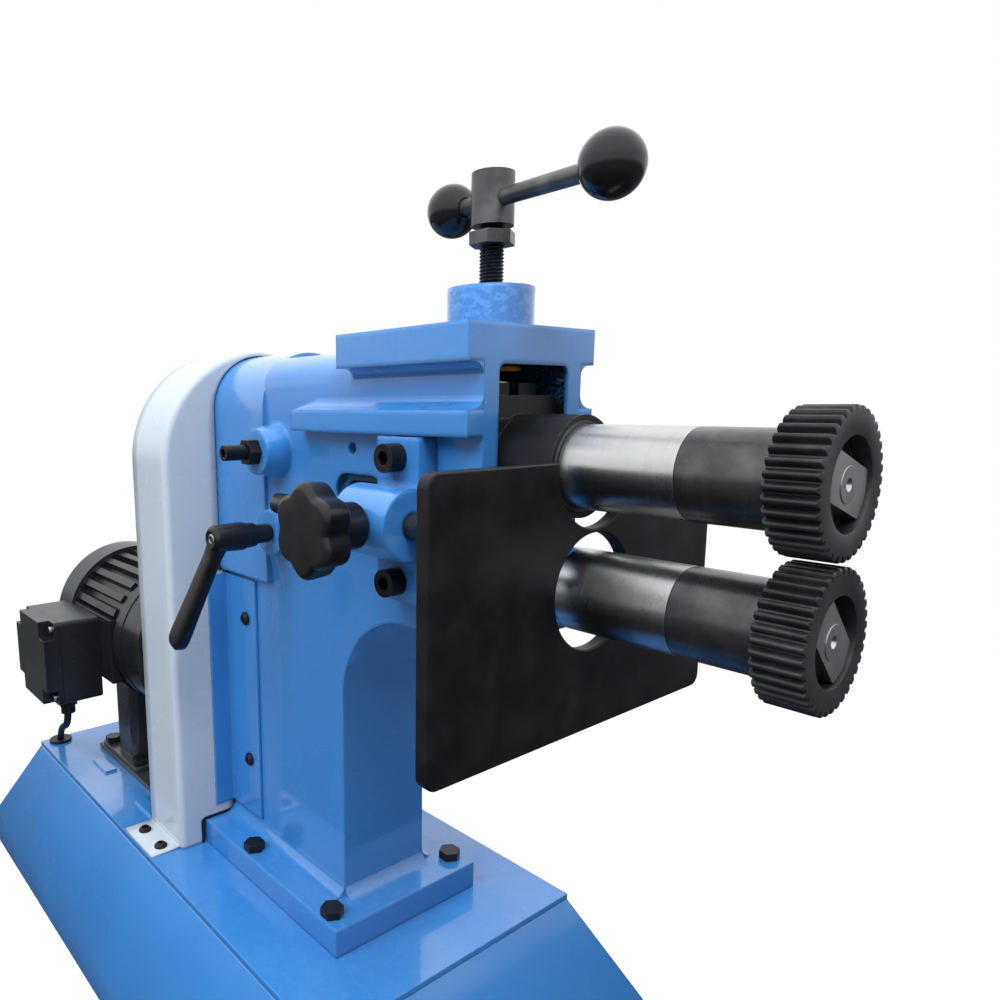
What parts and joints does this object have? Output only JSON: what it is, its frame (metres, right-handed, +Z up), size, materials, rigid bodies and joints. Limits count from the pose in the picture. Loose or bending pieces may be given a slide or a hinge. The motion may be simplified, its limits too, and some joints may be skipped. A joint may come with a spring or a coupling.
{
  "type": "electric bead roller",
  "caption": "Motor-driven bench machine with two geared overhung shafts carrying toothed feed rolls, a tee-handled pressure screw, a sliding depth gauge plate and a guarded chain drive.",
  "frame": {"origin": "centre of the hold-down hole pattern at the base underside", "axes": "+X from the frame towards the rolls, +Z up, +Y to the left when facing +X"},
  "size_m": [1.0263, 0.406, 0.8039],
  "materials": {
    "blue_paint": "thick glossy paint",
    "guard_paint": "smooth light grey paint",
    "black_steel": "black oxide, satin",
    "bright_steel": "ground",
    "bronze": "turned",
    "motor_paint": "satin black paint",
    "post_paint": "satin dark grey paint",
    "black_plastic": "moulded black plastic",
    "rubber": "matt black"
  },
  "bodies": {
    "frame": {"base_top_plate": "blue_paint", "base_left_panel": "blue_paint", "base_right_panel": "blue_paint", "base_front_panel": "blue_paint", "base_rear_panel": "blue_paint", "frame_casting": "blue_paint", "foot_bolts": "black_steel", "guard_rim": "guard_paint", "guard_front_panel": "guard_paint", "guard_rear_panel": "guard_paint", "guard_brackets": "blue_paint", "guard_screws": "black_steel", "pivot_screws": "black_steel", "pivot_lock_nuts": "black_steel", "lower_front_bush": "blue_paint", "lower_rear_sleeve": "bronze", "drive_chain": "black_steel", "reducer_housing": "motor_paint", "motor_body": "motor_paint", "motor_cowl": "motor_paint", "motor_post": "post_paint", "motor_rail": "post_paint", "terminal_box": "black_plastic", "terminal_lid": "black_plastic", "lid_screws": "bright_steel", "cable_gland": "black_plastic", "motor_lead": "rubber", "lead_grommet": "rubber", "screw_nut": "bronze", "return_springs": "bright_steel", "gauge_bracket": "blue_paint", "bracket_screws": "black_steel"},
    "upper_arm": {"upper_front_block": "black_steel", "upper_front_bush": "black_steel", "upper_swivel_ring": "bright_steel"},
    "upper_spindle": {"upper_shaft": "bright_steel", "upper_sleeve": "black_steel", "upper_roll": "black_steel", "upper_roll_nut": "black_steel", "upper_gear": "bright_steel"},
    "lower_spindle": {"lower_shaft": "bright_steel", "lower_sleeve": "black_steel", "lower_roll": "black_steel", "lower_roll_nut": "black_steel", "lower_gear": "bright_steel", "driven_sprocket": "bright_steel"},
    "drive_output": {"drive_sprocket": "bright_steel", "output_shaft": "bright_steel"},
    "motor_rotor": {"motor_shaft": "bright_steel", "motor_fan": "black_plastic"},
    "thrust": {"thrust_pad": "bright_steel"},
    "screw": {"pressure_screw": "black_steel", "jam_nut": "black_steel", "tee_hub": "black_steel"},
    "cross_bar": {"tee_bar": "black_steel", "ball_knobs": "black_plastic"},
    "gauge": {"gauge_rod": "bright_steel", "gauge_plate": "black_steel"},
    "star_knob": {"star_knob": "black_plastic"},
    "clamp_lever": {"clamp_lever": "black_plastic"}
  },
  "joints": [
    {"name": "lower_spin", "type": "hinge", "parent": "frame", "child": "lower_spindle", "pos_m": [0.413, 0, 0.51], "axis": [1, 0, 0], "continuous": true},
    {"name": "arm_tilt", "type": "hinge", "parent": "frame", "child": "upper_arm", "pos_m": [0.153, 0, 0.594], "axis": [0, -1, 0], "range_deg": [-0.2, 1.35], "deforming": ["return_springs"]},
    {"name": "upper_spin", "type": "hinge", "parent": "upper_arm", "child": "upper_spindle", "pos_m": [0.413, 0, 0.594], "axis": [1, 0, 0], "continuous": true},
    {"name": "output_spin", "type": "hinge", "parent": "frame", "child": "drive_output", "pos_m": [-0.012, -0.038, 0.356], "axis": [1, 0, 0], "continuous": true},
    {"name": "motor_spin", "type": "hinge", "parent": "frame", "child": "motor_rotor", "pos_m": [-0.177, -0.038, 0.356], "axis": [1, 0, 0], "continuous": true},
    {"name": "screw_travel", "type": "slide", "parent": "frame", "child": "thrust", "axis": [0, 0, 1], "range_m": [-0.0008, 0.0052]},
    {"name": "screw_turn", "type": "hinge", "parent": "thrust", "child": "screw", "pos_m": [0.3695, 0, 0.71], "axis": [0, 0, 1], "range_deg": [-108, 720]},
    {"name": "bar_slide", "type": "slide", "parent": "screw", "child": "cross_bar", "axis": [0.9739, -0.2195, -0.0576], "range_m": [-0.085, 0.018]},
    {"name": "gauge_slide", "type": "slide", "parent": "frame", "child": "gauge", "axis": [1, 0, 0], "range_m": [-0.025, 0.1]},
    {"name": "knob_turn", "type": "hinge", "parent": "frame", "child": "star_knob", "pos_m": [0.346, -0.12, 0.552], "axis": [0, 1, 0], "range_deg": [-180, 180]},
    {"name": "lever_turn", "type": "hinge", "parent": "frame", "child": "clamp_lever", "pos_m": [0.153, -0.1, 0.518], "axis": [0, 1, 0], "range_deg": [-40, 60]}
  ],
  "couplings": [
    {"joint": "upper_spin", "follows": "lower_spin", "ratio": -1},
    {"joint": "output_spin", "follows": "lower_spin", "ratio": 2},
    {"joint": "motor_spin", "follows": "lower_spin", "ratio": 40},
    {"joint": "screw_travel", "follows": "screw_turn", "m_per_rad": 0.00039789},
    {"joint": "arm_tilt", "follows": "screw_turn", "ratio": 0.0018378}
  ]
}
